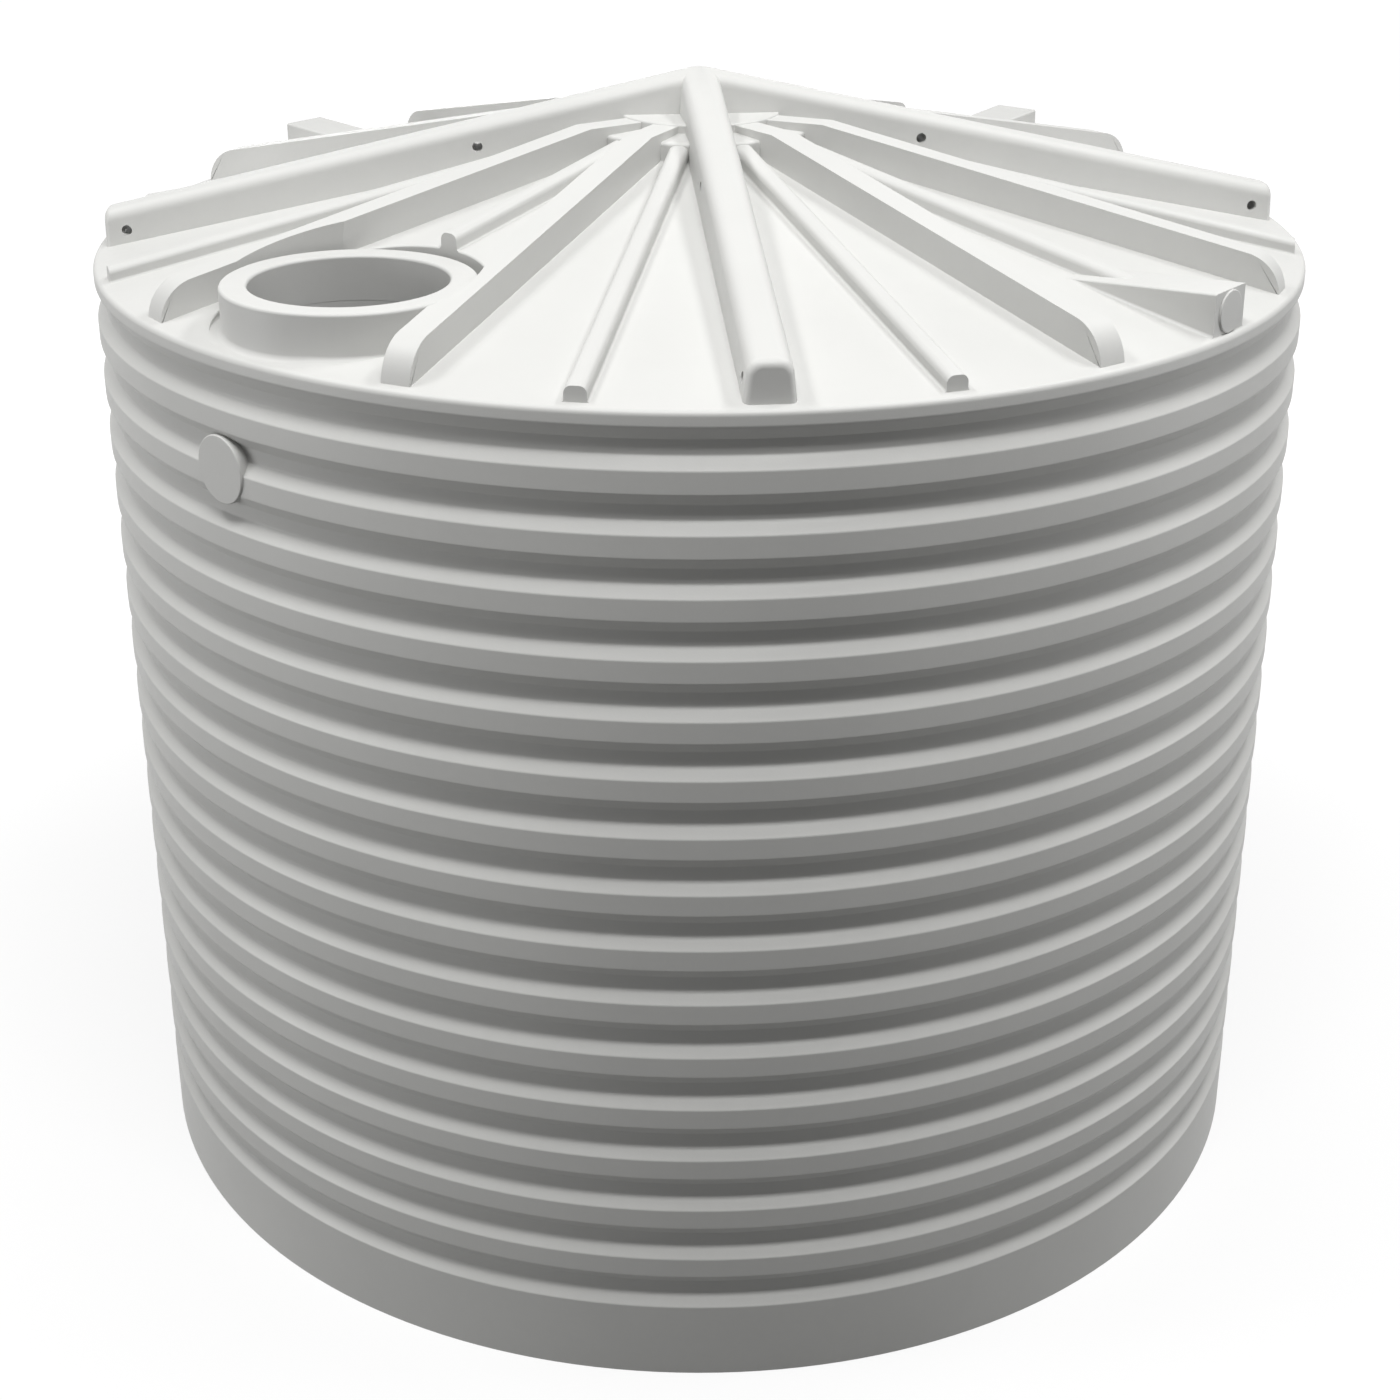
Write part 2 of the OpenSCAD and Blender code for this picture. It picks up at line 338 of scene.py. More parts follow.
def join_frame(piece, slot_name, *nodes):
    """The piece rides on the tank's one body and stands for its CAD nodes."""
    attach(piece, "root")
    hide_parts(*nodes)
    return piece


# %% A turned shape
def ring_faces(steps, count):
    """Faces between the columns of a closed outline that is carried once round."""
    faces = []
    for s in range(steps):
        here, across = s * count, (s + 1) % steps * count
        for k in range(count):
            after = (k + 1) % count
            faces.append((here + k, across + k, across + after, here + after))
    return faces


def turned(name, outline, material, steps=192):
    """Turns a closed outline of (radius, height) points once round an upright axis."""
    turns = [2 * math.pi * s / steps for s in range(steps)]
    points = [(r * math.cos(a), r * math.sin(a), z) for a in turns for r, z in outline]
    return merge_doubles(new_piece(name, points, ring_faces(steps, len(outline)), material))


# %% [markdown]
# ## The ridged wall
#
# The wall repeats one ridge fifteen times, so it is made by Geometry Nodes from a rule. A mesh line
# gets one point for each corner of the wall's section, and each point finds its place from its
# index. Fillet Curve softens the corners. A grid is then wrapped round the axis: each of its rows
# takes its radius and height from one point of that line, first up the outside and then, one skin
# further in, down the inside. A plain Screw modifier would do it too, but the tree keeps every size
# as a named input that can be changed later.


# %% Tree helpers
def new_tree(name, inputs):
    """A geometry node tree with named inputs, given back with its input node's outputs."""
    tree = bpy.data.node_groups.new(name, "GeometryNodeTree")
    tree.interface.new_socket("Geometry", in_out="OUTPUT", socket_type="NodeSocketGeometry")
    for socket_name, kind in inputs.items():
        tree.interface.new_socket(socket_name, in_out="INPUT", socket_type=kind)
    return tree, tree.nodes.new("NodeGroupInput").outputs


def run_tree(piece, tree, values):
    """Runs the tree on the piece with the given inputs, and keeps the plain mesh."""
    modifier = add_modifier(piece, "NODES", node_group=tree)
    for item in tree.interface.items_tree:
        if item.in_out == "INPUT" and item.name in values:
            modifier[item.identifier] = values[item.name]
    return bake_modifiers(piece)


def close_tree(tree, geometry, material):
    """Ends a tree in Realize Instances and Set Material."""
    real = add_node(tree, "GeometryNodeRealizeInstances", {"Geometry": geometry})
    painted = add_node(
        tree, "GeometryNodeSetMaterial", {"Geometry": real.outputs[0], "Material": material}
    )
    add_node(tree, "NodeGroupOutput", {"Geometry": painted.outputs[0]})


# %% The inputs of the wall's tree
NUMBER, WHOLE = "NodeSocketFloat", "NodeSocketInt"
wall_tree, given = new_tree(
    "ridged_wall",
    {
        "Radius": NUMBER,
        "Groove Depth": NUMBER,
        "Pitch": NUMBER,
        "Ridges": WHOLE,
        "Groove Flat": NUMBER,
        "Slope Height": NUMBER,
        "Skirt Height": NUMBER,
        "Skin": NUMBER,
        "Corner Radius": NUMBER,
        "Corner Points": WHOLE,
        "Steps": WHOLE,
        "Material": "NodeSocketMaterial",
    },
)
print("wall tree:", len(given) - 1, "inputs")

# %% The corners of the wall's section
t = wall_tree
index = add_node(t, "GeometryNodeInputIndex").outputs[0]
shifted = calc(t, "ADD", index, 2.0)
ridge = calc(t, "SUBTRACT", calc(t, "FLOOR", calc(t, "DIVIDE", shifted, 4.0)), 1.0)
corner = calc(t, "MODULO", shifted, 4.0)
past = [calc(t, "GREATER_THAN", corner, edge) for edge in (0.5, 1.5, 2.5)]
radius = calc(
    t,
    "SUBTRACT",
    given["Radius"],
    calc(t, "MULTIPLY", given["Groove Depth"], calc(t, "SUBTRACT", 1.0, past[1])),
)
crest = calc(
    t,
    "SUBTRACT",
    calc(t, "SUBTRACT", given["Pitch"], given["Groove Flat"]),
    calc(t, "MULTIPLY", given["Slope Height"], 2.0),
)
height = calc(t, "ADD", given["Skirt Height"], given["Slope Height"])
climbs = zip(past, (given["Groove Flat"], given["Slope Height"], crest))
for share, length in ((ridge, given["Pitch"]), *climbs):
    height = calc(t, "ADD", height, calc(t, "MULTIPLY", share, length))
height = calc(t, "MULTIPLY", height, calc(t, "GREATER_THAN", index, 0.5))
corner_count = calc(t, "ADD", calc(t, "MULTIPLY", given["Ridges"], 4.0), 4.0)
line = add_node(t, "GeometryNodeMeshLine", {"Count": corner_count})
section = add_node(
    t,
    "GeometryNodeSetPosition",
    {
        "Geometry": line.outputs[0],
        "Position": add_node(t, "ShaderNodeCombineXYZ", {0: radius, 2: height}).outputs[0],
    },
)
print("wall tree:", len(t.nodes), "nodes up to the section")

# %% Soft corners
curve = add_node(t, "GeometryNodeMeshToCurve", {0: section.outputs[0]})
soft = add_node(
    t,
    "GeometryNodeFilletCurve",
    {
        "Curve": curve.outputs[0],
        "Count": given["Corner Points"],
        "Radius": given["Corner Radius"],
        "Limit Radius": True,
    },
    mode="POLY",
)
beads = add_node(t, "GeometryNodeCurveToPoints", {"Curve": soft.outputs[0]}, mode="EVALUATED")
bead_count = add_node(
    t, "GeometryNodeAttributeDomainSize", {0: beads.outputs["Points"]}, component="POINTCLOUD"
).outputs["Point Count"]
print("wall tree:", len(t.nodes), "nodes up to the soft corners")

# %% A sheet wrapped round the axis
both_sides = calc(t, "MULTIPLY", bead_count, 2.0)
columns = calc(t, "ADD", given["Steps"], 1.0)
sheet = add_node(
    t,
    "GeometryNodeMeshGrid",
    {"Vertices X": calc(t, "ADD", both_sides, 1.0), "Vertices Y": columns},
)
row = calc(t, "FLOOR", calc(t, "DIVIDE", calc(t, "ADD", index, 0.5), columns))
column = calc(t, "SUBTRACT", index, calc(t, "MULTIPLY", row, columns))
last_row = calc(t, "GREATER_THAN", row, calc(t, "SUBTRACT", both_sides, 0.5))
wrapped = calc(
    t,
    "SUBTRACT",
    row,
    calc(t, "MULTIPLY", both_sides, last_row),
)
inside = calc(t, "GREATER_THAN", wrapped, calc(t, "SUBTRACT", bead_count, 0.5))
back_down = calc(
    t,
    "SUBTRACT",
    calc(t, "SUBTRACT", both_sides, 1.0),
    calc(t, "MULTIPLY", wrapped, 2.0),
)
bead = calc(t, "ADD", wrapped, calc(t, "MULTIPLY", inside, back_down))
found = add_node(
    t,
    "GeometryNodeSampleIndex",
    {
        "Geometry": beads.outputs["Points"],
        "Value": add_node(t, "GeometryNodeInputPosition").outputs[0],
        "Index": bead,
    },
    data_type="FLOAT_VECTOR",
    domain="POINT",
)
place = add_node(t, "ShaderNodeSeparateXYZ", {0: found.outputs[0]})
wall_r = calc(t, "SUBTRACT", place.outputs[0], calc(t, "MULTIPLY", inside, given["Skin"]))
turn = calc(t, "MULTIPLY", calc(t, "DIVIDE", column, given["Steps"]), 2 * math.pi)
wrapped_round = add_node(
    t,
    "ShaderNodeCombineXYZ",
    {
        0: calc(t, "MULTIPLY", wall_r, calc(t, "COSINE", turn)),
        1: calc(t, "MULTIPLY", wall_r, calc(t, "SINE", turn)),
        2: place.outputs[2],
    },
)
shell = add_node(
    t,
    "GeometryNodeSetPosition",
    {"Geometry": sheet.outputs[0], "Position": wrapped_round.outputs[0]},
)
closed = add_node(
    t, "GeometryNodeMergeByDistance", {"Geometry": shell.outputs[0], "Distance": 0.0001}
)
close_tree(t, closed.outputs[0], given["Material"])
print("wall tree:", len(t.nodes), "nodes")

# %% Make the wall
wall = new_piece("wall", [(0, 0, 0)], [], wall_plastic)
run_tree(
    wall,
    wall_tree,
    {
        "Radius": TANK_R,
        "Groove Depth": GROOVE_DEPTH,
        "Pitch": RIDGE_PITCH,
        "Ridges": RIDGE_COUNT,
        "Groove Flat": GROOVE_FLAT,
        "Slope Height": SLOPE_H,
        "Skirt Height": SKIRT_H,
        "Skin": SKIN,
        "Corner Radius": RIDGE_ROUND,
        "Corner Points": 3,
        "Steps": 192,
        "Material": wall_plastic,
    },
)
finish_mesh(merge_doubles(wall))
join_frame(wall, "wall_plastic", *[f"wall_segment_{i}" for i in range(1, 9)])

# %% [markdown]
# ## The roof and its hub
#
# The roof is a thin cone that starts in the last groove of the wall, swings out to a rounded edge
# and runs up to the hub. It is turned from its section like a pot on a wheel. A round opening for
# the manway is then cut through it with a Boolean, because the manway stands off the axis. The hub
# is a low round disc with a smaller plate on it, both with soft edges.


# %% Solid cutters
def drum(name, centre, r, low, high, axis=Vector((0, 0, 1)), steps=96):
    """A plain round bar, used to cut other pieces."""
    turn = axis.to_track_quat("Z", "Y").to_matrix().to_4x4()
    points, faces = [], []
    for z in (low, high):
        for s in range(steps):
            a = 2 * math.pi * s / steps
            points.append(centre + turn @ Vector((r * math.cos(a), r * math.sin(a), z)))
    for s in range(steps):
        after = (s + 1) % steps
        faces.append((s, after, steps + after, steps + s))
    faces.append(tuple(reversed(range(steps))))
    faces.append(tuple(range(steps, 2 * steps)))
    return new_piece(name, points, faces, roof_plastic)


def cut(piece, cutter):
    """Takes the cutter out of the piece and removes the cutter."""
    add_modifier(piece, "BOOLEAN", operation="DIFFERENCE", solver="MANIFOLD", object=cutter)
    bake_modifiers(piece)
    bpy.data.objects.remove(cutter)
    return piece


# %% Turn the roof and cut its opening
roof_section = soften(
    [
        (GROOVE_R, JOINT_Z, 0),
        (TANK_R, JOINT_Z + LIP_SLOPE_H, LIP_ROUND),
        (TANK_R, roof_z(TANK_R), LIP_ROUND),
        (HUB_OPENING_R, roof_z(HUB_OPENING_R), 0),
        (HUB_OPENING_R, roof_z(HUB_OPENING_R) - SKIN, 0),
        (TANK_R - SKIN, roof_z(TANK_R - SKIN) - SKIN, 0.008),
        (TANK_R - SKIN, JOINT_Z + LIP_SLOPE_H, 0.008),
        (GROOVE_R - SKIN, JOINT_Z, 0),
    ],
    steps=6,
)
roof = turned("roof", roof_section, roof_plastic, steps=240)
cut(roof, drum("roof_cutter", MANWAY_AT, SEAM_R, CUT_Z, OVERHEAD_Z, steps=MANWAY_STEPS))
finish_mesh(roof)
join_frame(roof, "roof_plastic", *[f"roof_panel_{i}" for i in range(1, 9)])

# %% Turn the hub
hub_disc = turned(
    "hub_disc",
    soften(
        [
            (DISC_R, roof_z(DISC_R) - SINK, 0),
            (DISC_R, DISC_Z, DISC_ROUND),
            (PLATE_R, PLATE_FOOT_Z, 0),
            (0, PLATE_FOOT_Z, 0),
            (0, PLATE_FOOT_Z - SKIN, 0),
            (PLATE_R, PLATE_FOOT_Z - SKIN, 0),
            (HUB_OPENING_R, roof_z(HUB_OPENING_R) - SINK, 0),
        ],
        steps=5,
    ),
    roof_plastic,
)
hub_plate = turned(
    "hub_plate",
    soften(
        [
            (0, PLATE_FOOT_Z - SINK, 0),
            (PLATE_R, PLATE_FOOT_Z - SINK, 0),
            (PLATE_R, PLATE_Z, PLATE_ROUND),
            (0, PLATE_Z, 0),
        ],
        steps=4,
    ),
    roof_plastic,
)
join_frame(finish_mesh(hub_disc), "roof_plastic", "hub_lower_disc")
join_frame(finish_mesh(hub_plate), "roof_plastic", "hub_upper_plate")

# %% [markdown]
# ## The ribs
#
# Three kinds of rib stiffen the roof. Each kind is one bar, drawn once and pointing to the front,
# and a node tree sets copies of it round the axis: four main ribs on the cross, eight medium ribs
# beside them, and twelve small ones between. The bar itself is a loft. Its section is a list of
# points that either hang from the top of the bar or stand on the cone, so the foot always follows
# the roof and may end in a small fillet, as the moulded corner does.


# %% The tree that sets copies round the axis
ring_tree, given = new_tree(
    "copies_round_the_axis",
    {
        "Shape": "NodeSocketGeometry",
        "Count": WHOLE,
        "First Bearing": NUMBER,
        "Step": NUMBER,
        "Leave Out Every": NUMBER,
        "Material": "NodeSocketMaterial",
    },
)
t = ring_tree
index = add_node(t, "GeometryNodeInputIndex").outputs[0]
at_gap = calc(t, "LESS_THAN", calc(t, "MODULO", index, given["Leave Out Every"]), 0.5)
left_out = calc(t, "MULTIPLY", at_gap, calc(t, "GREATER_THAN", given["Leave Out Every"], 0.5))
bearing = calc(t, "ADD", given["First Bearing"], calc(t, "MULTIPLY", index, given["Step"]))
copies = add_node(
    t,
    "GeometryNodeInstanceOnPoints",
    {
        "Points": add_node(t, "GeometryNodePoints", {"Count": given["Count"]}).outputs[0],
        "Selection": calc(t, "SUBTRACT", 1.0, left_out),
        "Instance": given["Shape"],
        "Rotation": add_node(
            t, "ShaderNodeCombineXYZ", {2: calc(t, "RADIANS", bearing)}
        ).outputs[0],
    },
)
close_tree(t, copies.outputs[0], given["Material"])


def set_round_axis(piece, count, first, step, leave_out_every=0):
    """Replaces the piece by copies of it round the tank's axis."""
    values = {
        "Count": count,
        "First Bearing": float(first),
        "Step": float(step),
        "Leave Out Every": float(leave_out_every),
        "Material": roof_plastic,
    }
    return run_tree(piece, ring_tree, values)


# %% The loft of a bar
def bar_section(width, shoulder, fillet=0, draft=0, steps=6):
    """Half of a bar's section, from foot to top: (offset, hangs from the top, height or drop)."""
    foot = width / 2 + draft
    half = [(foot + fillet, False, -SINK)]
    if fillet:
        for s in range(4):
            a = math.pi / 2 * s / 3
            half.append((foot + fillet * (1 - math.sin(a)), False, fillet * (1 - math.cos(a))))
    for s in range(steps + 1):
        a = math.pi / 2 * s / steps
        half.append((width / 2 - shoulder * (1 - math.cos(a)), True, shoulder * (1 - math.sin(a))))
    return half


def lofted_bar(name, half, stations, top_z, foot_z, mitre=False):
    """A bar to the front through the stations, which are distances from the axis."""
    left = [(-o, top, h) for o, top, h in half]
    ring = left + [(0, True, 0)] + list(reversed(half)) + [(0, False, -SINK)]
    points, faces = [], []
    for i, y in enumerate(stations):
        for o, from_top, h in ring:
            along = abs(o) if mitre and i == 0 else y
            top, foot = top_z(along), foot_z(math.hypot(along, o))
            h = min(h, 0.45 * (top - foot))
            points.append((o, -along, top - h if from_top else foot + h))
    count = len(ring)
    for i in range(len(stations) - 1):
        for k in range(count):
            a, b = i * count + k, i * count + (k + 1) % count
            faces.append((a, b, b + count, a + count))
    faces.append(tuple(reversed(range((len(stations) - 1) * count, len(stations) * count))))
    if not mitre:
        faces.append(tuple(range(count)))
    return merge_doubles(new_piece(name, points, faces, roof_plastic))


def crown_z(r):
    """Height of what the ribs stand on: the cone, and inside the disc's edge the disc."""
    return roof_z(r) if r > DISC_EDGE_R else PLATE_FOOT_Z - 0.001


def soft_edges(piece, width, chosen, segments=4):
    """Rounds the sharp edges whose middle is chosen."""
    shape = bmesh.new()
    shape.from_mesh(piece.data)
    weight = shape.edges.layers.float.new("bevel_weight_edge")
    for edge in shape.edges:
        middle = (edge.verts[0].co + edge.verts[1].co) / 2
        if chosen(middle) and edge.is_manifold and edge.calc_face_angle() > math.radians(50):
            edge[weight] = 1.0
    shape.to_mesh(piece.data)
    shape.free()
    add_modifier(piece, "BEVEL", width=width, segments=segments, limit_method="WEIGHT")
    return bake_modifiers(piece)


def above(foot_z, clear):
    """Chooses the places that are clear of what the piece stands on."""
    return lambda p: p.z > foot_z(math.hypot(p.x, p.y)) + clear


def scoop_for_manway(ribs):
    """Cuts away what would stand in the round space of the manway."""
    return cut(ribs, drum("scoop", MANWAY_AT, PLATFORM_R, SCOOP_Z, OVERHEAD_Z, steps=128))


# %% Main ribs with their lifting holes
def main_top_z(r):
    """Height of the top of a main rib."""
    return EAVES_Z + MAIN_H + (RIB_END_R - r) * MAIN_SLOPE


main_ribs = lofted_bar(
    "main_ribs",
    bar_section(MAIN_W, MAIN_ROUND, draft=MAIN_DRAFT, steps=8),
    [0.0, DISC_EDGE_R - 0.002, DISC_EDGE_R + 0.002, 0.8, 1.3, RIB_END_R],
    main_top_z,
    crown_z,
    mitre=True,
)
clear_of_roof = above(roof_z, 0.001)
soft_edges(
    main_ribs,
    MAIN_END_ROUND,
    lambda p: p.y < 0.001 - RIB_END_R and clear_of_roof(p),
    segments=6,
)
merge_doubles(set_round_axis(main_ribs, 4, 0, 90))
for bearing_now in (0, 90, 180, 270):
    for r in HOLE_AT:
        middle = at_bearing(bearing_now, r, main_top_z(r) - HOLE_DROP)
        across = at_bearing(bearing_now + 90, 1, 0)
        cut(main_ribs, drum("hole_cutter", middle, HOLE_R, -MAIN_W, MAIN_W, across, steps=40))
finish_mesh(merge_doubles(main_ribs))
main_nodes = [f"main_rib_{side}" for side in ("front", "right", "back", "left")]
join_frame(main_ribs, "roof_plastic", *main_nodes)

# %% Medium ribs
medium_drop = math.atan(ROOF_SLOPE)
level_z = roof_z(KNEE_R) + MEDIUM_H
arc_centre_r = RIB_END_R - MEDIUM_END_ROUND
arc_centre_z = (
    roof_z(RIB_END_R) + MEDIUM_H - MEDIUM_END_ROUND * math.tan(math.pi / 4 - medium_drop / 2)
)
outline = [(PLATE_R - SINK, level_z), (KNEE_R, level_z)]
ARC_STEPS = 14
for s in range(ARC_STEPS + 1):
    a = (math.pi / 2 - medium_drop) * (1 - s / ARC_STEPS)
    outline.append(
        (
            arc_centre_r + MEDIUM_END_ROUND * math.cos(a),
            arc_centre_z + MEDIUM_END_ROUND * math.sin(a),
        )
    )
outline += [
    (RIB_END_R, roof_z(RIB_END_R) - SINK),
    (DISC_R - DISC_ROUND, roof_z(DISC_R - DISC_ROUND) - SINK),
    (PLATE_R - SINK, PLATE_FOOT_Z - SINK),
]
side_count = len(outline)
points = [(side * MEDIUM_W / 2, -r, z) for side in (-1, 1) for r, z in outline]
faces = [tuple(range(side_count)), tuple(reversed(range(side_count, 2 * side_count)))]
for k in range(side_count):
    after = (k + 1) % side_count
    faces.append((k, side_count + k, side_count + after, after))
medium_ribs = merge_doubles(new_piece("medium_ribs", points, faces, roof_plastic))
soft_edges(medium_ribs, MEDIUM_ROUND, above(crown_z, 0.001))
set_round_axis(medium_ribs, 12, 0, 30, leave_out_every=3)
scoop_for_manway(medium_ribs)
finish_mesh(merge_doubles(medium_ribs))
join_frame(medium_ribs, "roof_plastic", *[f"medium_rib_{i}" for i in range(1, 9)])


# %% Small ribs
def small_top_z(r):
    """Height of the top of a small rib."""
    return EAVES_Z + SMALL_H + (RIB_END_R - r) * SMALL_SLOPE


small_ribs = lofted_bar(
    "small_ribs",
    bar_section(SMALL_W, SMALL_ROUND, SMALL_FILLET, steps=6),
    [DISC_R - 0.008, 0.6, 0.9, 1.2, 1.5, RIB_END_R],
    small_top_z,
    roof_z,
)
soft_edges(small_ribs, SMALL_END_ROUND, above(roof_z, 0.008))
set_round_axis(small_ribs, 12, 15, 30)
scoop_for_manway(small_ribs)
finish_mesh(merge_doubles(small_ribs))
join_frame(small_ribs, "roof_plastic", *[f"small_ribs_{i}" for i in range(1, 5)])

# %% [markdown]
# ## The manway
#
# The manway is a thick open neck on a level platform. The platform is sunk into the cone, so an
# upright round step stands behind it. In front of it the cone falls away below, and the piece of
# the platform follows it down to the edge of the cut. Platform and neck are wrapped round the
# manway's own axis, and each column of points looks up how high the roof is just there. That gives
# the step its slanting top edge and seats the foot of the neck all the way round.


# %% Surfaces at the manway
def cone_at(rho, a):
    """Height of the cone at a distance and direction from the manway's axis."""
    return roof_z(math.hypot(MANWAY_AT.x + rho * math.cos(a), MANWAY_AT.y + rho * math.sin(a)))


def seat_at(rho, a):
    """Height of the platform, or of the cone where that is lower."""
    return min(PLATFORM_Z, cone_at(rho, a))


def reach(z, a):
    """Distance from the manway's axis at which the cone comes down to a height."""
    along = MANWAY_AT.x * math.cos(a) + MANWAY_AT.y * math.sin(a)
    r = RIB_END_R - (z - EAVES_Z) / ROOF_SLOPE
    return math.sqrt(along**2 + r**2 - MANWAY_AT.x**2 - MANWAY_AT.y**2) - along


def wrapped_at_manway(name, outline_at):
    """A closed outline round the manway's axis that may differ in each direction."""
    points = []
    for s in range(MANWAY_STEPS):
        a = 2 * math.pi * s / MANWAY_STEPS
        line = outline_at(a)
        points += [
            (MANWAY_AT.x + rho * math.cos(a), MANWAY_AT.y + rho * math.sin(a), z) for rho, z in line
        ]
    return merge_doubles(
        new_piece(name, points, ring_faces(MANWAY_STEPS, len(line)), roof_plastic)
    )


def quarter(steps):
    """Cosine and sine along a quarter circle."""
    return [(math.cos(q), math.sin(q)) for q in (math.pi / 2 * s / steps for s in range(steps + 1))]


# %% Sunken platform with its step
def platform_outline(a):
    """From the throat over the platform and up the step to the cone."""
    rise = max(cone_at(PLATFORM_R, a) - PLATFORM_Z, 0)
    foot, crest = min(STEP_FOOT, 0.45 * rise), min(STEP_CREST, 0.3 * rise)
    edge = min(SEAM_R, reach(CUT_Z, a))
    bend = min(PLATFORM_R - foot, reach(PLATFORM_Z, a))
    line = [(BORE_R + SKIN, PLATFORM_Z - THROAT), (BORE_R, PLATFORM_Z - THROAT)]
    line += [(BORE_R, PLATFORM_Z), (bend, PLATFORM_Z)]
    for c, s in quarter(5):
        rho = min(edge, PLATFORM_R - foot * (1 - s))
        line.append((rho, seat_at(rho, a) + foot * (1 - c)))
    for c, s in quarter(3):
        rho = min(edge, PLATFORM_R + crest * (1 - c))
        line.append((rho, cone_at(rho, a) - crest * (1 - s)))
    line += [(edge, cone_at(edge, a)), (edge, seat_at(edge, a) - SKIN)]
    line += [(BORE_R + SKIN, PLATFORM_Z - SKIN)]
    return line


manway_well = wrapped_at_manway("manway_platform", platform_outline)
join_frame(finish_mesh(manway_well), "roof_plastic", "manway_well")


# %% Neck of the manway
def neck_outline(a):
    """The neck's wall with its foot fillet and its rounded rim."""
    bore, top = BORE_R - BORE_LEDGE, PLATFORM_Z + NECK_H
    line = [(bore, seat_at(bore, a) - SINK)]
    line += [(NECK_R + NECK_FILLET, seat_at(NECK_R + NECK_FILLET, a) - SINK)]
    for c, s in quarter(5):
        rho = NECK_R + NECK_FILLET * (1 - s)
        line.append((rho, seat_at(rho, a) + NECK_FILLET * (1 - c)))
    line += [(NECK_R - NECK_ROUND * (1 - c), top - NECK_ROUND * (1 - s)) for c, s in quarter(5)]
    line += [(bore + NECK_ROUND * (1 - c), top - NECK_ROUND * (1 - s)) for c, s in quarter(5)[::-1]]
    return line


manway_neck = wrapped_at_manway("manway_collar", neck_outline)
join_frame(finish_mesh(manway_neck), "roof_plastic", "manway_neck")

# %% [markdown]
# ## Outlet boxes and overflow boss
#
# At 45 degrees in the other three quadrants a wedge-shaped box grows out of the roof. Its face is
# upright, with a slightly raised round pad for a pipe fitting. The boxes reuse the loft of the ribs
# and the same tree, with other numbers. The boss on the wall is a short drum with a flat face.


# %% Outlet boxes
def box_top_z(r):
    """Height of the top of an outlet box."""
    return EAVES_Z + BOX_H - (BOX_FACE_R - r) * BOX_FALL


box_tip_r = (RIB_END_R * ROOF_SLOPE - BOX_H + BOX_FACE_R * BOX_FALL) / (ROOF_SLOPE + BOX_FALL)
outlet_boxes = lofted_bar(
    "outlet_boxes",
    bar_section(BOX_W, BOX_ROUND, BOX_FILLET, steps=4),
    [*(box_tip_r + further for further in (0.003, 0.03, 0.08, 0.2)), BOX_FACE_R],
    box_top_z,
    roof_z,
)
soft_edges(outlet_boxes, BOX_ROUND, above(roof_z, 0.010))
pad = turned(
    "pad",
    soften(
        [(0, -PAD_DEPTH, 0), (PAD_R, -PAD_DEPTH, 0), (PAD_R, PAD_T, PAD_ROUND), (0, PAD_T, 0)],
        steps=3,
    ),
    roof_plastic,
    steps=64,
)
face_front = Matrix.Rotation(math.pi / 2, 4, "X")
pad.data.transform(Matrix.Translation((0, -BOX_FACE_R, PAD_Z)) @ face_front)
add_modifier(outlet_boxes, "BOOLEAN", operation="UNION", solver="MANIFOLD", object=pad)
bake_modifiers(outlet_boxes)
bpy.data.objects.remove(pad)
set_round_axis(outlet_boxes, 3, 45, 90)
finish_mesh(merge_doubles(outlet_boxes))
join_frame(
    outlet_boxes,
    "roof_plastic",
    "outlet_box_front_right",
    "outlet_box_back_right",
    "outlet_box_back_left",
)

# %% Overflow boss
boss = turned(
    "boss",
    soften(
        [
            (0, -BOSS_DEPTH, 0),
            (BOSS_R, -BOSS_DEPTH, 0),
            (BOSS_R, BOSS_REACH, BOSS_ROUND),
            (0, BOSS_REACH, 0),
        ],
        steps=4,
    ),
    wall_plastic,
    steps=96,
)
out_of_wall = at_bearing(BOSS_BEARING, 1, 0)
boss.data.transform(
    Matrix.Translation(at_bearing(BOSS_BEARING, TANK_R, BOSS_Z))
    @ out_of_wall.to_track_quat("Z", "Y").to_matrix().to_4x4()
)
boss.name = "overflow_stub"
join_frame(finish_mesh(boss), "wall_plastic", "overflow_boss")

# %% [markdown]
# ## The floor of the tank
#
# The floor disc only shows from below and through the manway. Its CAD shape is right, so it stays
# and takes the plastic of the wall.

# %% Paint the floor disc
floor_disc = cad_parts["floor"]
floor_disc.data.materials.clear()
floor_disc.data.materials.append(wall_plastic)
print(floor_disc.name, "takes", wall_plastic.name)

# %% [markdown]
# ## Studio
#
# The tank stands on a plain pale floor in front of white. Camera rays see the floor and the world
# as white, so the background needs no extra light on the tank, and the floor still shows a soft
# shadow. The lamps are large and soft. Three hang high at the front and the sides and brighten the
# roof and the upper slopes of the ridges. Three stand low at the sides and behind the tank and lift
# the edges and the back of the wall.


# %% Pale floor
def seen_directly(tree):
    """One for rays of the camera, of reflections and of transmission."""
    path = add_node(tree, "ShaderNodeLightPath").outputs
    either = calc(tree, "MAXIMUM", path["Is Camera Ray"], path["Is Glossy Ray"])
    return calc(tree, "MAXIMUM", either, path["Is Transmission Ray"])


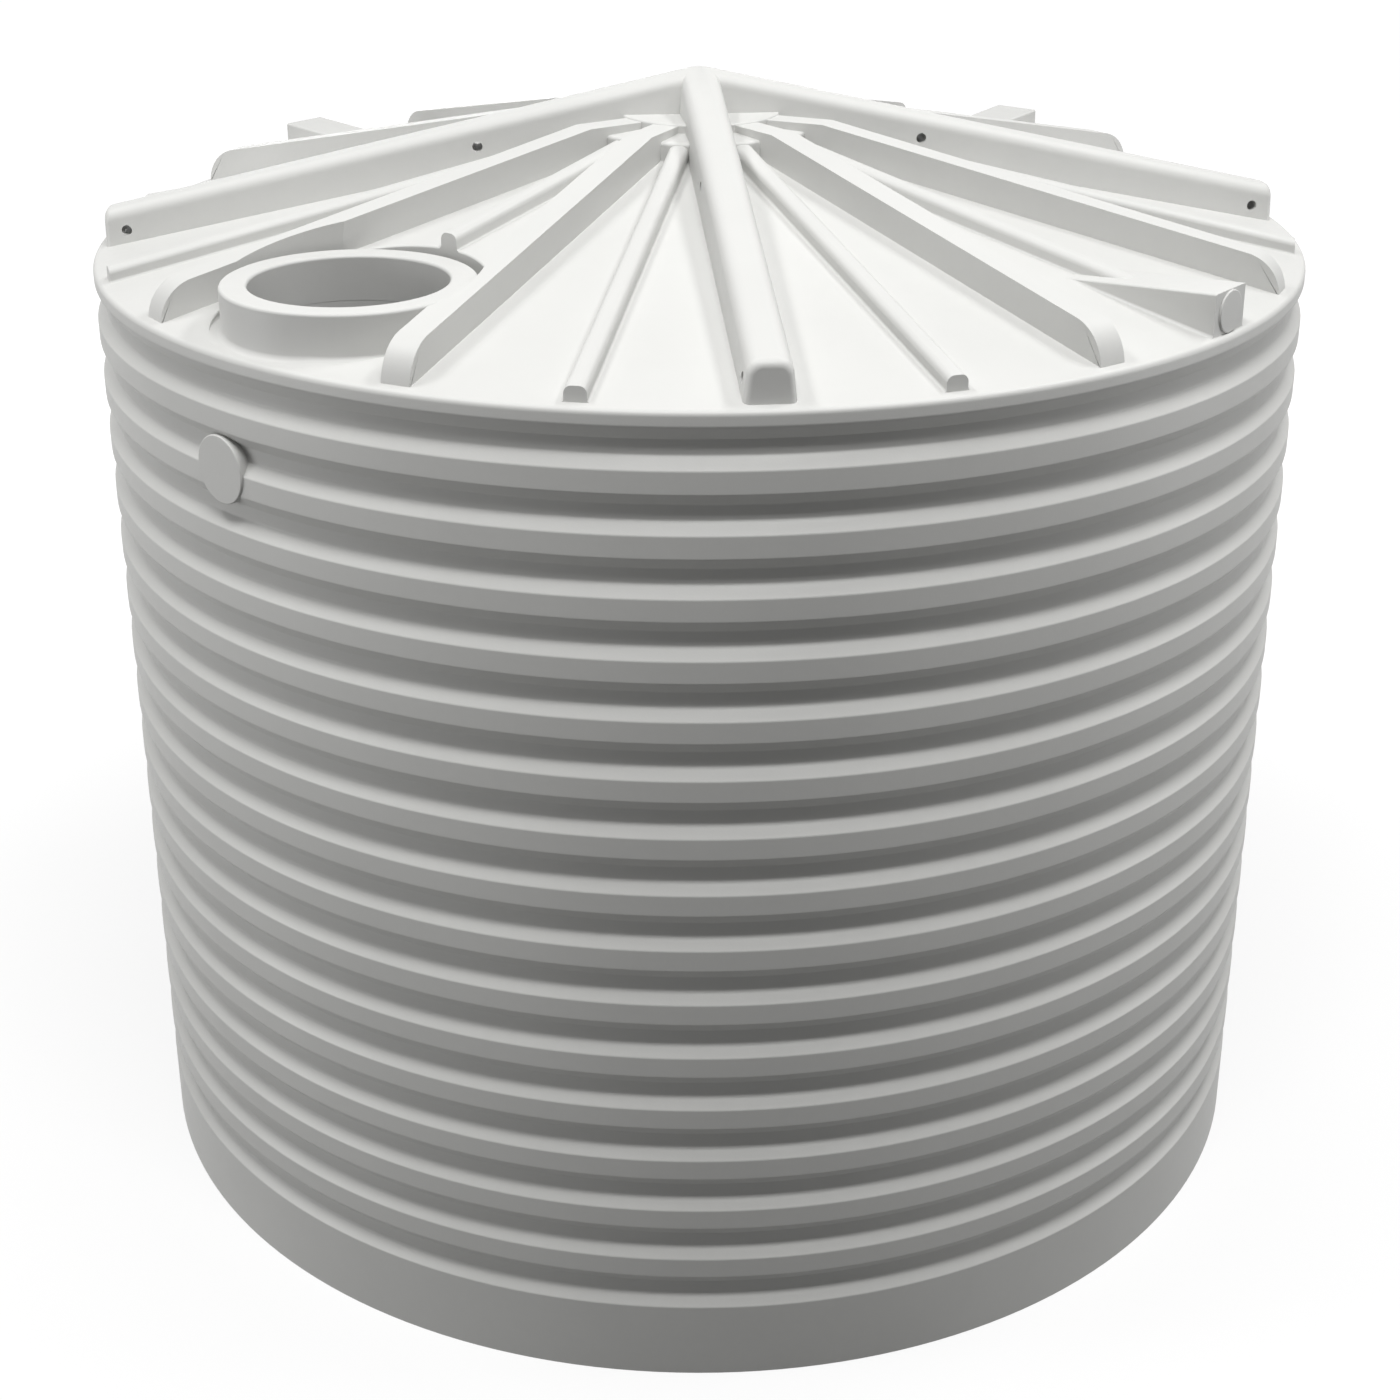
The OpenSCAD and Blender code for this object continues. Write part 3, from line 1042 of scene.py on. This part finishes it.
pale_floor = bpy.data.materials.new("pale_floor")
pale_floor.use_nodes = True
t = pale_floor.node_tree
t.nodes.clear()
away = add_node(
    t,
    "ShaderNodeVectorMath",
    {0: add_node(t, "ShaderNodeTexCoord").outputs["Object"]},
    operation="LENGTH",
).outputs["Value"]
whiteness = map_range(t, away, 2.0, 7.0, 0.80, 1.0)
matt = add_node(t, "ShaderNodeBsdfDiffuse", {"Color": (0.18, 0.18, 0.18, 1)})
glow = add_node(
    t,
    "ShaderNodeEmission",
    {"Color": (1, 1, 1, 1), "Strength": calc(t, "MULTIPLY", seen_directly(t), whiteness)},
)
both = add_node(t, "ShaderNodeAddShader", {0: matt.outputs[0], 1: glow.outputs[0]})
add_node(t, "ShaderNodeOutputMaterial", {"Surface": both.outputs[0]})
FLOOR_HALF = 60.0
ground = new_piece(
    "ground",
    [(x * FLOOR_HALF, y * FLOOR_HALF, -0.001) for x, y in ((-1, -1), (1, -1), (1, 1), (-1, 1))],
    [(0, 1, 2, 3)],
    pale_floor,
)
print("ground:", 2 * FLOOR_HALF, "m square")

# %% World
world = bpy.data.worlds.new("studio")
bpy.context.scene.world = world
world.use_nodes = True
t = world.node_tree
t.nodes.clear()
AMBIENT = 0.05
strength = map_range(t, seen_directly(t), 0.0, 1.0, AMBIENT, 1.0)
backdrop = add_node(t, "ShaderNodeBackground", {"Color": (1, 1, 1, 1), "Strength": strength})
add_node(t, "ShaderNodeOutputWorld", {"Surface": backdrop.outputs[0]})
print("world light:", AMBIENT, "and 1.0 where it is seen")


# %% Lamps
LAMP_AIM_Z = 1.5


def soft_lamp(name, place, aim, width, depth, power):
    """A large area lamp that looks from its place to a point."""
    lamp = bpy.data.lights.new(name, "AREA")
    lamp.shape = "RECTANGLE"
    lamp.size, lamp.size_y = width, depth
    lamp.energy = power
    holder = bpy.data.objects.new(name, lamp)
    holder.location = place
    holder.rotation_euler = (Vector(aim) - Vector(place)).to_track_quat("-Z", "Y").to_euler()
    bpy.context.scene.collection.objects.link(holder)
    return holder


# name, bearing, distance from the axis, height, distance aimed at, width, depth, watts
for name, bearing_now, away_m, up, aim_r, wide, deep, power in (
    ("high_front", 0, 4.8, 11.0, 1.8, 5.0, 1.5, 725),
    ("high_right", 90, 5.2, 11.0, 1.8, 5.0, 1.5, 445),
    ("high_left", -90, 5.2, 11.0, 1.8, 5.0, 1.5, 405),
    ("low_right", 80, 11.2, 2.5, 0.0, 5.0, 5.0, 320),
    ("low_left", -80, 11.2, 2.5, 0.0, 5.0, 5.0, 380),
    ("low_back", 180, 11.2, 1.6, 0.0, 6.0, 4.0, 420),
):
    hung_at = at_bearing(bearing_now, away_m, up)
    soft_lamp(name, hung_at, at_bearing(bearing_now, aim_r, LAMP_AIM_Z), wide, deep, power)
    print(name, power, "W")

# %% Camera
CAMERA_BEARING = -5.467
CAMERA_AWAY = 6.9803
CAMERA_Z = 4.5070
CAMERA_DOWN = 23.837
camera = bpy.data.cameras.new("camera")
camera.lens = 59.476
camera.sensor_width = 36.0
camera.shift_x = 0.0005
camera.shift_y = -0.0304
camera_holder = bpy.data.objects.new("camera", camera)
camera_holder.location = at_bearing(CAMERA_BEARING, CAMERA_AWAY, CAMERA_Z)
down = math.radians(CAMERA_DOWN)
look = at_bearing(CAMERA_BEARING + 180, math.cos(down), -math.sin(down))
camera_holder.rotation_euler = look.to_track_quat("-Z", "Y").to_euler()
bpy.context.scene.collection.objects.link(camera_holder)
bpy.context.scene.camera = camera_holder
bpy.context.scene.view_settings.view_transform = "Standard"
print("camera:", tuple(round(c, 3) for c in camera_holder.location), camera.lens, "mm")
